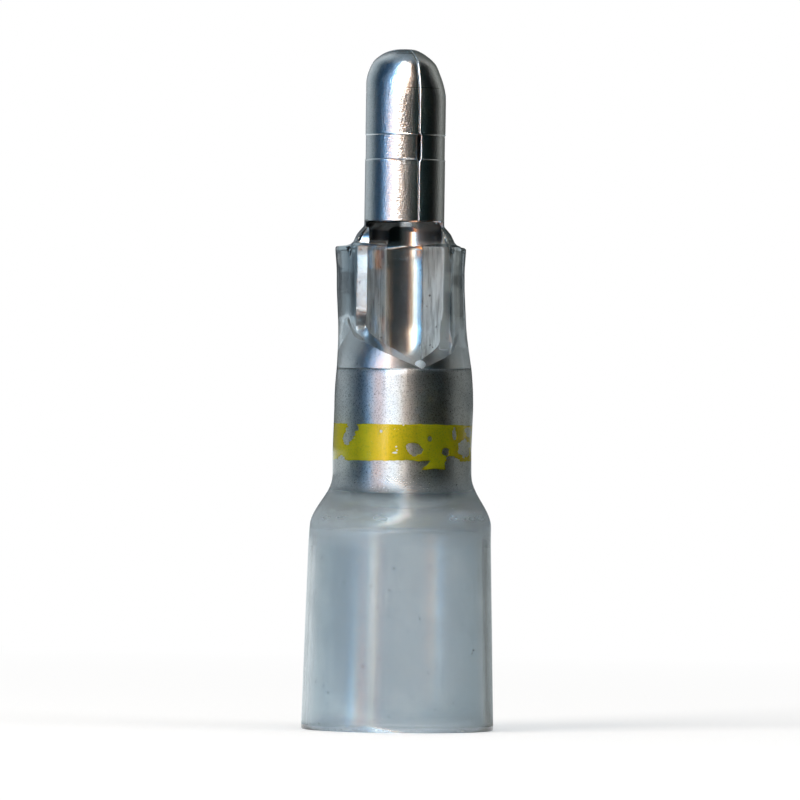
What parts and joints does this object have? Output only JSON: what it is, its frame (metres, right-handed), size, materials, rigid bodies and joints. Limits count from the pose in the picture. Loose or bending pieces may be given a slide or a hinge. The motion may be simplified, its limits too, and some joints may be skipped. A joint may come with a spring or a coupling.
{
  "type": "round crimp terminal",
  "caption": "Round male pin terminal of rolled tin-plated sheet, with a seamless barrel sleeve and a clear adhesive-lined heat-shrink tube that seals the wire.",
  "frame": {"origin": "centre of the tube's open wire end, which the part stands on", "axes": "+Z along the axis to the pin's tip; the neck's window faces -Y"},
  "size_m": [0.0096, 0.0096, 0.034],
  "materials": {
    "tin_plate": "bright tin plate",
    "sleeve_plate": "satin tin plate",
    "yellow_ink": "chipped ink",
    "hot_melt": "milky",
    "clear_jacket": "clear gloss"
  },
  "bodies": {
    "root": {"bullet_terminal": "tin_plate", "barrel_sleeve": "sleeve_plate", "colour_band": "yellow_ink", "adhesive_liner": "hot_melt", "heat_shrink_tube": "clear_jacket"}
  },
  "joints": []
}
